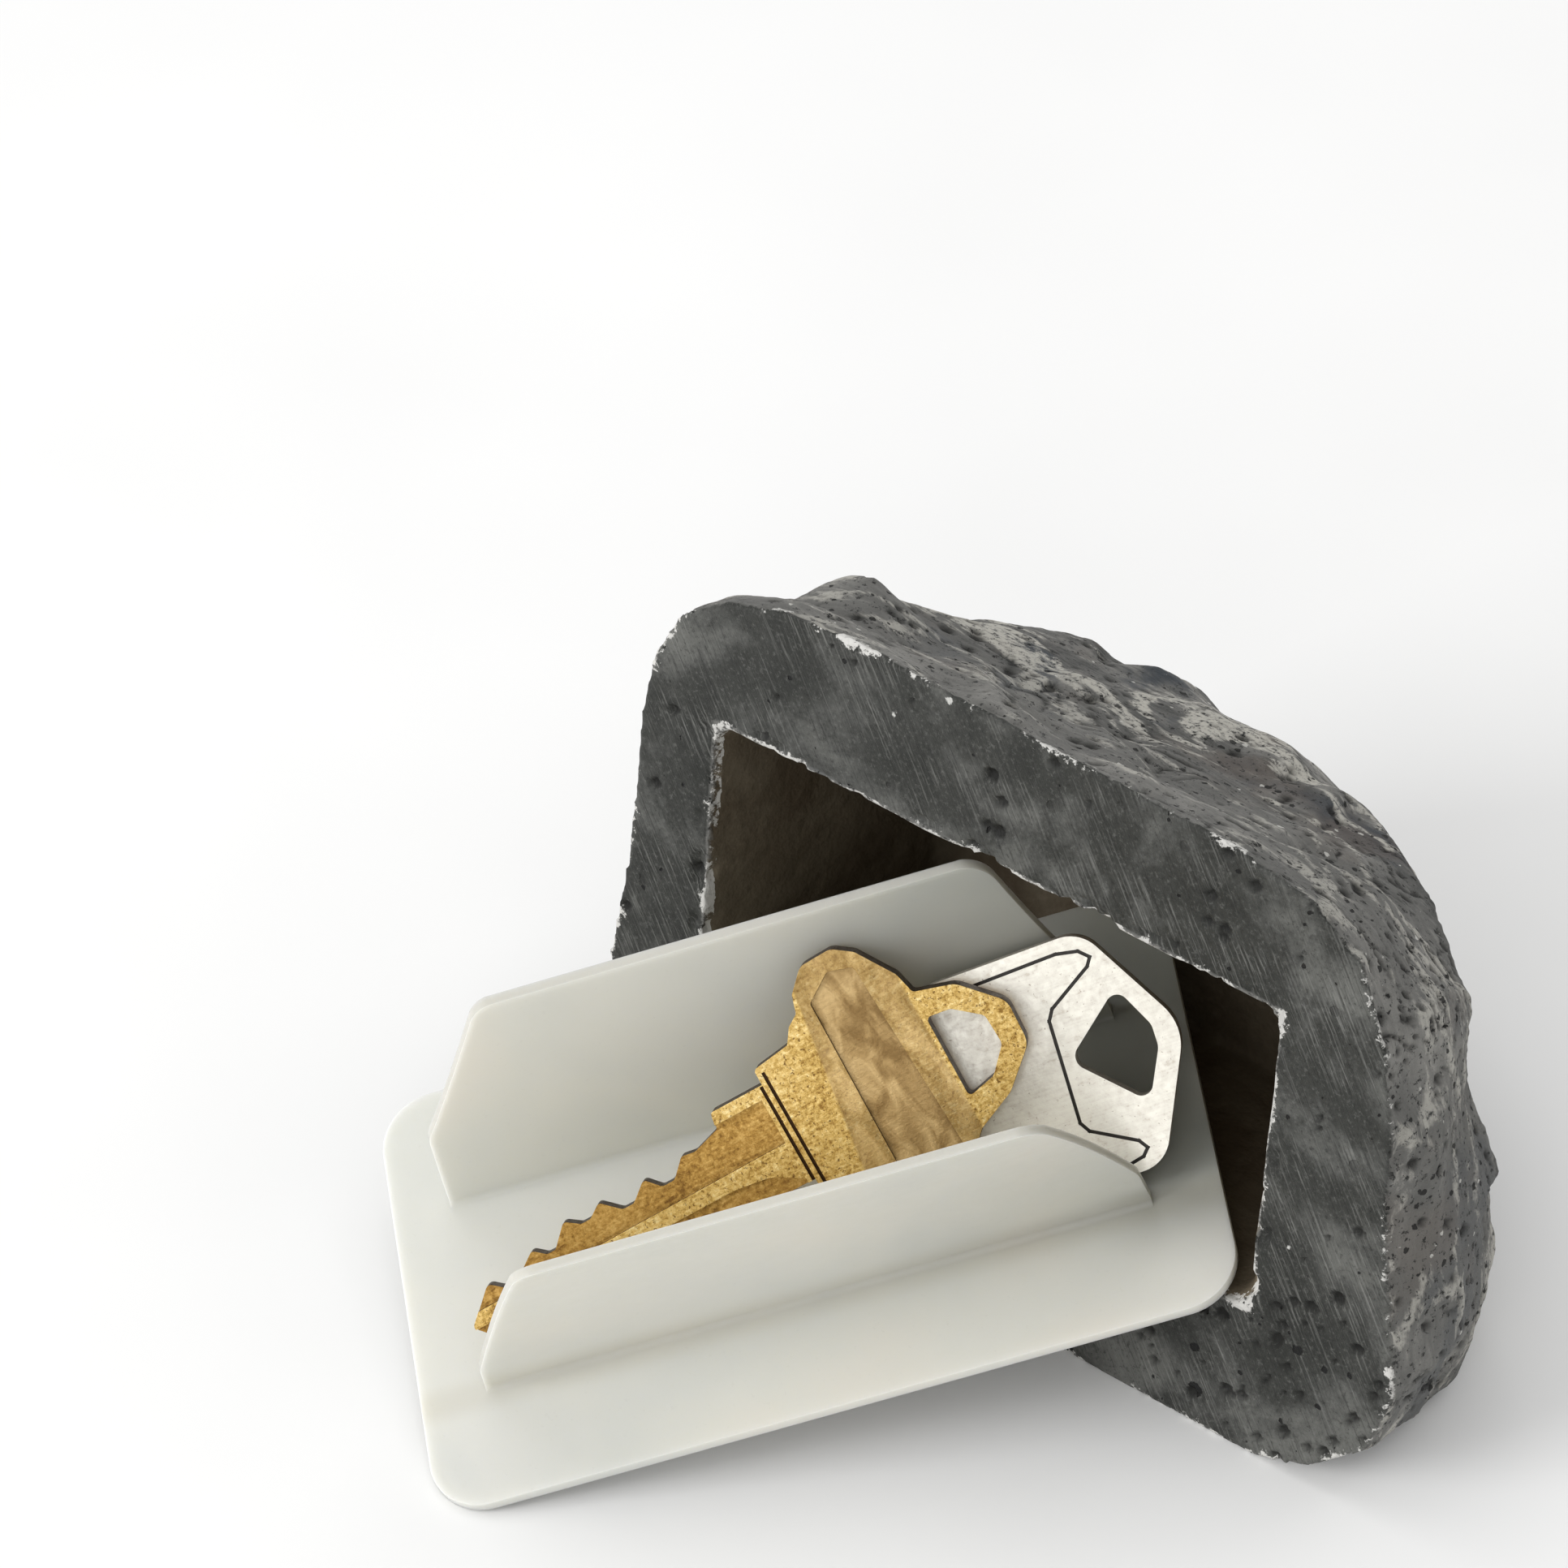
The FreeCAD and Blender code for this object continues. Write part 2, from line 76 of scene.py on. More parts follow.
def gradient_noise(points, seed):
    """Smooth noise of about -1 to 1 at each row of points, one bump per unit of length."""
    order = np.random.default_rng(seed).permutation(NOISE_CELLS)
    order = np.concatenate([order, order])
    cell = np.floor(points).astype(int)
    inside = points - cell
    cell &= NOISE_CELLS - 1
    blend = inside ** 3 * (inside * (inside * 6 - 15) + 10)
    total = np.zeros(len(points))
    for corner in itertools.product((0, 1), repeat=3):
        at = (cell + np.array(corner)) & (NOISE_CELLS - 1)
        index = order[order[order[at[:, 0]] + at[:, 1]] + at[:, 2]]
        slope = (GRADIENTS[index] * (inside - np.array(corner))).sum(axis=1)
        weight = np.prod(np.where(np.array(corner), blend, 1 - blend), axis=1)
        total += slope * weight
    return total * 1.5


def layered_noise(points, seed, layers, gain=0.5):
    """Sum of ever finer layers of noise, each weaker than the last by the gain."""
    total = np.zeros(len(points))
    size = 1.0
    for layer in range(layers):
        total += size * gradient_noise(points * 2 ** layer, seed + layer)
        size *= gain
    return total


def ridged_noise(points, seed, layers, gain=0.5):
    """Layered noise with sharp crests, 0 to about 1."""
    total = np.zeros(len(points))
    size = 1.0
    full = 0.0
    for layer in range(layers):
        total += size * (1 - np.abs(gradient_noise(points * 2 ** layer, seed + layer)) * 1.6)
        full += size
        size *= gain
    return np.clip(total / full, 0, 1)


def smooth_step(low, high, value):
    """0 below low, 1 above high and a soft rise between; falls instead if high is below low."""
    share = np.clip((value - low) / (high - low), 0, 1)
    return share * share * (3 - 2 * share)


# ------------------------------------------------------------------ mesh helpers

def mesh_points(mesh):
    points = np.zeros(len(mesh.vertices) * 3)
    mesh.vertices.foreach_get("co", points)
    return points.reshape(-1, 3)


def mesh_normals(mesh):
    normals = np.zeros(len(mesh.vertices) * 3)
    mesh.vertices.foreach_get("normal", normals)
    return normals.reshape(-1, 3)


def set_points(mesh, points):
    mesh.vertices.foreach_set("co", points.astype(np.float32).ravel())
    mesh.update()


WELD_DISTANCE = 0.002 * MM
FLAT_ANGLE = math.radians(1)


def copy_of_node(node, name):
    """Own copy of a CAD node's mesh, welded, in an object of its own."""
    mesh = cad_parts[node].data.copy()
    mesh.name = name
    mesh.materials.clear()
    piece = bpy.data.objects.new(name, mesh)
    bpy.context.scene.collection.objects.link(piece)
    work = bmesh.new()
    work.from_mesh(mesh)
    bmesh.ops.remove_doubles(work, verts=work.verts, dist=WELD_DISTANCE)
    bmesh.ops.dissolve_limit(work, angle_limit=FLAT_ANGLE, verts=work.verts,
                             edges=work.edges)
    work.to_mesh(mesh)
    work.free()
    if mesh.has_custom_normals:
        bpy.context.view_layer.objects.active = piece
        piece.select_set(True)
        bpy.ops.mesh.customdata_custom_splitnormals_clear()
        piece.select_set(False)
    return piece


def apply_modifiers(piece):
    """Bakes a piece's modifiers into its mesh."""
    bpy.context.view_layer.update()
    graph = bpy.context.evaluated_depsgraph_get()
    mesh = bpy.data.meshes.new_from_object(piece.evaluated_get(graph))
    piece.modifiers.clear()
    piece.data = mesh
    mesh.name = piece.name


def bevel_edges(piece, width_mm, segments, degrees):
    """Rounds every edge that turns by more than the given angle."""
    bevel = piece.modifiers.new("edge", "BEVEL")
    bevel.width = width_mm * MM
    bevel.segments = segments
    bevel.limit_method = "ANGLE"
    bevel.angle_limit = math.radians(degrees)
    apply_modifiers(piece)


def smooth_by_angle(piece, degrees):
    """Smooth shading, broken at edges that turn by the given angle or more."""
    mesh = piece.data
    mesh.polygons.foreach_set("use_smooth", [True] * len(mesh.polygons))
    work = bmesh.new()
    work.from_mesh(mesh)
    limit = math.radians(degrees)
    for edge in work.edges:
        edge.smooth = edge.is_manifold and edge.calc_face_angle(0) < limit
    work.to_mesh(mesh)
    work.free()


def flatten_shading(piece):
    """Lets the large flat faces decide the shading, so that they stay flat up to their bevels."""
    weigh = piece.modifiers.new("weigh", "WEIGHTED_NORMAL")
    weigh.keep_sharp = True
    apply_modifiers(piece)


def add_layer(mesh, name, values, domain="POINT"):
    """Named float layer, one value a vertex or a face, for the material to read."""
    layer = mesh.attributes.new(name, "FLOAT", domain)
    layer.data.foreach_set("value", np.asarray(values, np.float32))


# ------------------------------------------------------------------ shader helpers

SPOT_EDGE = 0.04


class Nodes:
    """Small builder for one material's nodes."""

    def __init__(self, name):
        self.material = bpy.data.materials.new(name)
        self.material.use_nodes = True
        self.tree = self.material.node_tree
        self.tree.nodes.clear()
        self.shader = self.tree.nodes.new("ShaderNodeBsdfPrincipled")
        output = self.tree.nodes.new("ShaderNodeOutputMaterial")
        self.tree.links.new(self.shader.outputs[0], output.inputs[0])
        where = self.tree.nodes.new("ShaderNodeTexCoord")
        self.mm = self.vector("SCALE", where.outputs["Object"], None, 1 / MM)

    def feed(self, socket, value):
        """Links another node's output to the socket, or sets a constant on it."""
        if isinstance(value, bpy.types.NodeSocket):
            self.tree.links.new(value, socket)
        elif value is not None:
            socket.default_value = value

    def vector(self, operation, a, b=None, scale=None):
        node = self.tree.nodes.new("ShaderNodeVectorMath")
        node.operation = operation
        self.feed(node.inputs[0], a)
        self.feed(node.inputs[1], b)
        if scale is not None:
            node.inputs["Scale"].default_value = scale
        return node.outputs[0]

    def math(self, operation, a, b=None):
        node = self.tree.nodes.new("ShaderNodeMath")
        node.operation = operation
        self.feed(node.inputs[0], a)
        self.feed(node.inputs[1], b)
        return node.outputs[0]

    def plus(self, a, b):
        return self.math("ADD", a, b)

    def minus(self, a, b):
        return self.math("SUBTRACT", a, b)

    def times(self, a, b):
        return self.math("MULTIPLY", a, b)

    def axes(self, source):
        node = self.tree.nodes.new("ShaderNodeSeparateXYZ")
        self.feed(node.inputs[0], source)
        return node.outputs

    def placed(self, source, rotation=(0, 0, 0), scale=(1, 1, 1)):
        """Source turned and stretched, to give marks a direction."""
        node = self.tree.nodes.new("ShaderNodeMapping")
        self.feed(node.inputs["Vector"], source)
        node.inputs["Rotation"].default_value = rotation
        node.inputs["Scale"].default_value = scale
        return node.outputs[0]

    def in_frame(self, place):
        """Millimetres in a frame given by its place in the row frame."""
        back = place.inverted()
        node = self.tree.nodes.new("ShaderNodeMapping")
        self.feed(node.inputs["Vector"], self.mm)
        node.inputs["Rotation"].default_value = back.to_euler()
        node.inputs["Location"].default_value = back.to_translation()
        return node.outputs[0]

    def noise(self, source, scale, detail, roughness=0.5, distortion=0.0):
        node = self.tree.nodes.new("ShaderNodeTexNoise")
        self.feed(node.inputs["Vector"], source)
        node.inputs["Scale"].default_value = scale
        node.inputs["Detail"].default_value = detail
        node.inputs["Roughness"].default_value = roughness
        node.inputs["Distortion"].default_value = distortion
        return node.outputs[0]

    def warped(self, source, scale, amount):
        """Source pushed about by noise, to make round marks ragged."""
        node = self.tree.nodes.new("ShaderNodeTexNoise")
        self.feed(node.inputs["Vector"], source)
        node.inputs["Scale"].default_value = scale
        node.inputs["Detail"].default_value = 2.0
        push = self.vector("SCALE", self.vector("SUBTRACT", node.outputs[1], (0.5, 0.5, 0.5)),
                           None, amount)
        return self.vector("ADD", source, push)

    def pits(self, source, scale, share, radius):
        """Crisp spots, one in a share of the cells, each of its own size up to the radius."""
        node = self.tree.nodes.new("ShaderNodeTexVoronoi")
        self.feed(node.inputs["Vector"], source)
        node.inputs["Scale"].default_value = scale
        apart = self.tree.nodes.new("ShaderNodeSeparateColor")
        self.feed(apart.inputs[0], node.outputs["Color"])
        chance = self.minus(apart.outputs[0], 1 - share)
        reach = self.times(chance, radius * scale / share)
        return self.span(self.minus(reach, node.outputs["Distance"]), 0.0,
                         SPOT_EDGE)

    def layer(self, name):
        """One of the mesh's own float layers."""
        node = self.tree.nodes.new("ShaderNodeAttribute")
        node.attribute_name = name
        return node.outputs["Fac"]

    def span(self, value, low, high, to_low=0.0, to_high=1.0):
        """Soft step from one value to another; low may be above high."""
        node = self.tree.nodes.new("ShaderNodeMapRange")
        node.interpolation_type = "SMOOTHSTEP"
        self.feed(node.inputs["Value"], value)
        node.inputs["From Min"].default_value = low
        node.inputs["From Max"].default_value = high
        node.inputs["To Min"].default_value = to_low
        node.inputs["To Max"].default_value = to_high
        return node.outputs[0]

    def ramp(self, value, *stops):
        """Colours by position, each stop a position and a colour."""
        node = self.tree.nodes.new("ShaderNodeValToRGB")
        self.feed(node.inputs[0], value)
        ramp = node.color_ramp
        while len(ramp.elements) < len(stops):
            ramp.elements.new(1.0)
        for element, (position, colour) in zip(ramp.elements, stops):
            element.position = position
            element.color = (*colour, 1)
        return node.outputs[0]

    def mix(self, share, a, b):
        """A where the share is 0 and b where it is 1."""
        node = self.tree.nodes.new("ShaderNodeMix")
        node.data_type = "RGBA"
        self.feed(node.inputs[0], share)
        for socket, value in ((node.inputs[6], a), (node.inputs[7], b)):
            self.feed(socket, (*value, 1) if isinstance(value, tuple) else value)
        return node.outputs[2]

    def bump(self, height, distance_mm, strength):
        node = self.tree.nodes.new("ShaderNodeBump")
        node.inputs["Strength"].default_value = strength
        node.inputs["Distance"].default_value = distance_mm * MM
        self.feed(node.inputs["Height"], height)
        return node.outputs[0]

    def set(self, **sockets):
        """Feeds the shader's own sockets, named with underscores for spaces."""
        for name, value in sockets.items():
            self.feed(self.shader.inputs[name.replace("_", " ")], value)


# ------------------------------------------------------------------ rock

ROCK_VOXEL = 0.42
FACET_SOFTENING = 14
SOFTENING_FACTOR = 0.8
FAR_AWAY = 99.0

# How far past the chamber's walls and floor, and above the base, a point still belongs to them
CHAMBER_SKIN = 0.35
FLOOR_SKIN = 0.6
BASE_SKIN = 0.3

# Weathering: for each kind of noise its size in millimetres, its seed and its height
BEND_SIZE, BEND_SEEDS, BEND_REACH = 21, (11, 21, 31), 6.5
LUMP_SIZE, LUMP_SEED, LUMP_HEIGHT = 9, 41, 0.34
BAND_SIZE, BAND_SEED, BAND_HEIGHT = (17, 17, 4.6), 51, 0.8
BAND_MIDDLE = 0.66
GRIT_SIZE, GRIT_SEED, GRIT_HEIGHT = 1.5, 61, 0.12
SCOOP_SIZE, SCOOP_SEED, SCOOP_DEPTH = 5.5, 71, 0.6
SCOOP_LEVEL = 0.2
CRACK_SIZE, CRACK_SEED, CRACK_DEPTH = (7, 7, 3.2), 81, 0.55
CRACK_WIDTH = 0.05
CRACK_FIELD_SIZE, CRACK_FIELD_SEED = 13, 91
LOWEST_RELIEF = -1.5
HIGHEST_RELIEF = 0.5
# the rock is smoother at its left end
SMOOTH_END = (50, 74)
SMOOTH_SHARE = 0.38
EDGE_SHARE = 0.3

# Pores: how many, their radii in millimetres, and their depth as a share of the radius
PORE_SEED = 7
SIDE_PORES = (1100, (0.4, 0.9), 0.6)
BASE_PORES = (110, (0.45, 0.85), 0.9)
FEWEST_PORES = 0.12

BASE_WAVE_SIZE, BASE_WAVE_SEED, BASE_WAVE_HEIGHT, BASE_SUNK = 3.5, 101, 0.035, 0.03
CHAMBER_WAVE_SIZE, CHAMBER_WAVE_SEED, CHAMBER_WAVE_HEIGHT, CHAMBER_SUNK = 7, 111, 0.12, 0.05

# Chips along the base's outer edge and bites out of the mouth's edge
RIM_WIDTH = 1.6
CHIP_SIZE, CHIP_SEED, CHIP_LEVEL, CHIP_DEPTH = 2.6, 121, 0.1, 0.8
BITE_SIZE, BITE_SEED, BITE_LEVEL, BITE_DEPTH = 3.2, 141, 0.12, 0.9
BITE_LIMIT = 0.8
MOUTH_RIM_MIDDLE = 0.4
MOUTH_RIM_HALF = 0.9
MOUTH_RIM_DEPTH = 1.3

BOX_MARGIN = 0.02
# Heights over the base where the chamber's own colour starts, and where the paint is worn away
CHAMBER_PAINT = 0.35
WORN_DEPTH = (30.0, 14.0)


def to_rock_frame(points):
    """Row-frame metres to the rock's own frame: x along, y across, z up from its base."""
    x = points[:, 0] / MM + ROCK_X
    y = points[:, 1] / MM + ROCK_Y
    z = points[:, 2] / MM
    up_face = y * math.sin(BASE_LEAN) + z * math.cos(BASE_LEAN)
    depth = y * math.cos(BASE_LEAN) - z * math.sin(BASE_LEAN)
    return np.column_stack([x, -up_face, depth])


def distance_to_mouth(rock):
    """Millimetres inside (negative) or outside (positive) the chamber's side walls."""
    share = np.clip(rock[:, 2] / CHAMBER_DEPTH, 0, 1)
    left, right, front, back = [edge + draft * share
                                for edge, draft in zip(MOUTH, MOUTH_DRAFT)]
    past_x = np.maximum(left - rock[:, 0], rock[:, 0] - right)
    past_y = np.maximum(front - rock[:, 1], rock[:, 1] - back)
    return np.maximum(past_x, past_y)


def dent_pores(points, allowed, rng, count, radii, deepen):
    """Round pores pressed into the surface at random places; returns how far into one each
    point is."""
    tree = kdtree.KDTree(len(points))
    for index, point in enumerate(points):
        tree.insert(point, index)
    tree.balance()
    places = rng.choice(np.flatnonzero(allowed), count)
    hollow = np.zeros(len(points))
    for place in places:
        radius = rng.uniform(*radii) * rng.uniform(0.6, 1.0)
        for _, index, distance in tree.find_range(points[place], radius * MM):
            share = 1 - (distance / (radius * MM)) ** 2
            hollow[index] = max(hollow[index], share * radius * deepen)
    return hollow


def distance_from(points, edge, wanted):
    """Millimetres from the edge points to each wanted point; far for the others."""
    near = np.flatnonzero(edge)
    tree = kdtree.KDTree(len(near))
    for index in near:
        tree.insert(points[index], int(index))
    tree.balance()
    away = np.full(len(points), FAR_AWAY)
    for index in np.flatnonzero(wanted):
        away[index] = tree.find(points[index])[2] / MM
    return away


def soften_facets(piece):
    """Rounds the edges between the rock's outer facets and leaves its base and chamber alone."""
    rock = to_rock_frame(mesh_points(piece.data))
    outer = (distance_to_mouth(rock) > 1.0) | (rock[:, 2] > CHAMBER_DEPTH + 1.5)
    share = smooth_step(0.5, 2.0, rock[:, 2]) * outer
    group = piece.vertex_groups.new(name="outer")
    for index, weight in enumerate(share):
        if weight > 0:
            group.add([index], float(weight), "REPLACE")
    soften = piece.modifiers.new("soften", "SMOOTH")
    soften.factor = SOFTENING_FACTOR
    soften.iterations = FACET_SOFTENING
    soften.vertex_group = group.name
    apply_modifiers(piece)


def rock_relief(rock):
    """Weathering of the outside, with its bands and cracks.

    The bands run round the rock parallel to its base, broken up and bent by larger lumps."""
    bend = np.column_stack([layered_noise(rock / BEND_SIZE, seed, 2) for seed in BEND_SEEDS])
    bent = rock + bend * BEND_REACH
    lumps = layered_noise(bent / LUMP_SIZE, LUMP_SEED, 3)
    bands = ridged_noise(bent / np.array(BAND_SIZE), BAND_SEED, 5, 0.52)
    grit = layered_noise(rock / GRIT_SIZE, GRIT_SEED, 2, 0.6)
    scoops = np.clip(gradient_noise(bent / SCOOP_SIZE, SCOOP_SEED) - SCOOP_LEVEL, 0, 1)
    crossing = np.abs(gradient_noise(bent / np.array(CRACK_SIZE), CRACK_SEED))
    cracks = np.clip(1 - crossing / CRACK_WIDTH, 0, 1)
    field = gradient_noise(rock / CRACK_FIELD_SIZE, CRACK_FIELD_SEED)
    cracks *= smooth_step(0.0, 0.3, field)
    relief = LUMP_HEIGHT * lumps + BAND_HEIGHT * (bands - BAND_MIDDLE) - SCOOP_DEPTH * scoops
    relief += GRIT_HEIGHT * grit - CRACK_DEPTH * cracks
    return np.clip(relief, LOWEST_RELIEF, HIGHEST_RELIEF), bands, cracks


def relief_strength(rock, ground):
    """Share of the relief that shows: less near the base, the ground and the smooth end."""
    from_base = smooth_step(0.1, 2.2, rock[:, 2])
    from_ground = smooth_step(0.05, 1.6, ground)
    rugged = SMOOTH_SHARE + (1 - SMOOTH_SHARE) * smooth_step(*SMOOTH_END, rock[:, 0])
    low = EDGE_SHARE
    return (low + (1 - low) * from_base) * (low + (1 - low) * from_ground) * rugged


def kept_inside(moved):
    """Points kept in the CAD node's box and behind the plane of the sanded base."""
    low, high = (np.array(corner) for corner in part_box("rock_shell"))
    margin = BOX_MARGIN * MM
    moved = np.clip(moved, low + margin * np.array([1, 1, 0]), high - margin)
    back = np.clip(-to_rock_frame(moved)[:, 2], 0, None) * MM
    moved[:, 1] += back * math.cos(BASE_LEAN)
    moved[:, 2] -= back * math.sin(BASE_LEAN)
    moved[:, 2] = np.maximum(moved[:, 2], low[2])
    return moved


def weathered_rock():
    piece = copy_of_node("rock_shell", "weathered_rock")
    remesh = piece.modifiers.new("remesh", "REMESH")
    remesh.mode = "VOXEL"
    remesh.voxel_size = ROCK_VOXEL * MM
    apply_modifiers(piece)
    soften_facets(piece)
    mesh = piece.data
    points = mesh_points(mesh)
    rock = to_rock_frame(points)
    depth = rock[:, 2]

    past_mouth = distance_to_mouth(rock)
    in_chamber = (past_mouth < CHAMBER_SKIN) & (depth < CHAMBER_DEPTH + FLOOR_SKIN)
    on_base = (depth < BASE_SKIN) & ~in_chamber
    outside = ~in_chamber & ~on_base

    relief, bands, cracks = rock_relief(rock)
    shift = np.where(outside, relief * relief_strength(rock, points[:, 2] / MM), 0.0)

    rng = np.random.default_rng(PORE_SEED)
    side_pores = dent_pores(points, outside & (depth > 1), rng, *SIDE_PORES)
    # the base's burst bubbles crowd towards its lower right corner
    crowded = smooth_step(30, 75, rock[:, 0]) * smooth_step(30, 8, -rock[:, 1]) + FEWEST_PORES
    base_spots = on_base & (past_mouth > 1) & (rng.random(len(points)) < crowded)
    base_pores = dent_pores(points, base_spots, rng, *BASE_PORES)
    shift -= np.where(outside, side_pores, 0) + np.where(on_base, base_pores, 0)

    base_wave = BASE_WAVE_HEIGHT * layered_noise(rock / BASE_WAVE_SIZE, BASE_WAVE_SEED, 3)
    shift += np.where(on_base, base_wave - BASE_SUNK, 0)
    chamber_wave = CHAMBER_WAVE_HEIGHT * layered_noise(rock / CHAMBER_WAVE_SIZE,
                                                       CHAMBER_WAVE_SEED, 2)
    shift += np.where(in_chamber, chamber_wave - CHAMBER_SUNK, 0)

    chip = np.clip(layered_noise(rock / CHIP_SIZE, CHIP_SEED, 2) - CHIP_LEVEL, 0, 1)
    shift -= np.where(outside & (depth < RIM_WIDTH), chip * CHIP_DEPTH, 0)
    mouth_rim = (np.abs(past_mouth - MOUTH_RIM_MIDDLE) < MOUTH_RIM_HALF) & (depth < MOUTH_RIM_DEPTH)
    bite = layered_noise(rock / BITE_SIZE, BITE_SEED, 3, 0.6) - BITE_LEVEL
    shift -= np.where(mouth_rim, np.clip(bite, 0, BITE_LIMIT) * BITE_DEPTH, 0)

    moved = kept_inside(points + mesh_normals(mesh) * (shift * MM)[:, None])
    set_points(mesh, moved)

    outer_edge = distance_from(points, outside & (depth < 0.5), on_base)
    rim_closeness = np.where(outside, 1 - depth / RIM_WIDTH, 1 - outer_edge / RIM_WIDTH)
    mouth_closeness = np.where(depth < 1.2, 1 - np.abs(past_mouth) / RIM_WIDTH, 0)
    layers = {
        "base_face": np.where(on_base, 1.0, 0.0),
        "chamber": np.where(in_chamber & (depth > CHAMBER_PAINT), 1.0, 0.0),
        "relief": np.where(outside, (relief + 1.1) / 1.5, 0.4),
        "crest": np.where(outside, bands, 0.0),
        "pore": np.clip((side_pores + base_pores) / 0.3 + cracks * outside, 0, 1),
        "rim": np.clip(np.maximum(rim_closeness, mouth_closeness), 0, 1),
        "crowded": crowded,
        "worn": smooth_step(*WORN_DEPTH, depth),
    }
    for name, values in layers.items():
        add_layer(mesh, name, values)
    mesh.polygons.foreach_set("use_smooth", [True] * len(mesh.polygons))
    mesh.materials.append(rock_material())
    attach(piece, "rock")
    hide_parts("rock_shell")


# Paint, filler and shade on the rock, as linear red, green and blue
NAVY_STAIN = (0.042, 0.052, 0.066)
UMBER_STAIN = (0.16, 0.125, 0.1)
WORN_GREY = (0.215, 0.212, 0.198)
IVORY_PAINT = (0.6, 0.58, 0.52)
CREVICE_SHADE = (0.032, 0.032, 0.031)
DARK_SPECKLE = (0.018, 0.018, 0.017)
PINHOLE_SHADE = (0.016, 0.016, 0.015)
PALE_FLECK = (0.62, 0.61, 0.57)
FINE_GREY = (0.17, 0.17, 0.16)
FINE_BLACK = (0.012, 0.012, 0.011)
PALE_SCRATCH = (0.24, 0.24, 0.225)
DARK_SCRATCH = (0.013, 0.013, 0.012)
LONG_SCRATCH = (0.2, 0.2, 0.19)
BUBBLE_HOLE_SHADE = (0.005, 0.005, 0.005)
FILLER_CHIP = (0.6, 0.6, 0.57)
PORE_SHADE = (0.008, 0.008, 0.007)
CHIPPED_RIM = (0.66, 0.65, 0.62)
SIDE_GREYS = ((0.42, (0.062, 0.063, 0.06)), (0.5, (0.135, 0.134, 0.127)),
              (0.56, (0.22, 0.216, 0.202)), (0.66, (0.36, 0.35, 0.325)))
BASE_GREYS = ((0.38, (0.024, 0.025, 0.022)), (0.48, (0.037, 0.038, 0.034)),
              (0.53, (0.064, 0.065, 0.06)), (0.6, (0.11, 0.111, 0.102)),
              (0.72, (0.14, 0.141, 0.13)))
CHAMBER_BROWNS = ((0.35, (0.1, 0.076, 0.049)), (0.6, (0.145, 0.119, 0.082)),
                  (0.75, (0.195, 0.16, 0.114)))
SANDING_ANGLE = math.radians(-58)


def painted_side(n, level):
    """Colour and height of the hand-painted sides."""
    relief = n.layer("relief")
    crest = n.layer("crest")
    ragged = n.warped(n.mm, 1.6, 0.7)
    speckle = n.noise(n.mm, 1.5, 6, 0.75)
    cloud = n.noise(n.mm, 0.055, 7, 0.64, 0.4)
    streak = n.noise(n.placed(level, scale=(0.15, 0.15, 0.5)), 1.0, 8, 0.7, 1.2)
    tone = n.plus(n.times(streak, 0.42), n.times(cloud, 0.62))
    colour = n.ramp(tone, *SIDE_GREYS)
    stain = n.span(n.noise(n.mm, 0.045, 5, 0.6, 0.5), 0.54, 0.63)
    colour = n.mix(n.times(stain, 0.75), colour, NAVY_STAIN)
    umber = n.span(n.noise(n.placed(n.mm, rotation=(0.7, 0.3, 0.2)), 0.06, 4, 0.55), 0.54, 0.66)
    colour = n.mix(n.times(umber, 0.45), colour, UMBER_STAIN)
    high = n.plus(n.times(crest, 0.7), n.times(relief, 0.5))
    high = n.plus(high, n.times(n.minus(streak, 0.5), 1.1))
    brushed = n.span(n.noise(n.placed(n.mm, rotation=(0.2, 0.9, 0.5)), 0.04, 5, 0.6, 0.6),
                     0.42, 0.58, -0.22, 0.2)
    # towards the base handling has worn the paint to an even grey
    worn = n.layer("worn")
    brushed = n.times(brushed, n.span(worn, 0, 1, 1.0, 0.3))
    high = n.plus(high, brushed)
    ivory = n.times(n.span(high, 0.84, 1.04), n.span(speckle, 0.36, 0.54))
    ivory = n.times(ivory, n.span(worn, 0, 1, 0.85, 0.55))
    colour = n.mix(n.times(worn, 0.5), colour, WORN_GREY)
    colour = n.mix(ivory, colour, IVORY_PAINT)
    # painted shade in the low places of the relief
    colour = n.mix(n.span(relief, 0.42, 0.1, 0, 0.6), colour, CREVICE_SHADE)
    colour = n.mix(n.span(speckle, 0.45, 0.37, 0, 0.9), colour, DARK_SPECKLE)
    pinholes = n.pits(ragged, 0.9, 0.7, 0.36)
    # painted shade in the pinholes
    colour = n.mix(n.times(pinholes, 0.9), colour, PINHOLE_SHADE)
    colour = n.mix(n.times(n.pits(ragged, 0.75, 0.3, 0.3), 0.8), colour, PALE_FLECK)
    height = n.plus(n.noise(n.mm, 1.1, 6, 0.7), n.times(streak, 0.6))
    height = n.minus(height, n.times(pinholes, 0.7))
    return colour, height, speckle


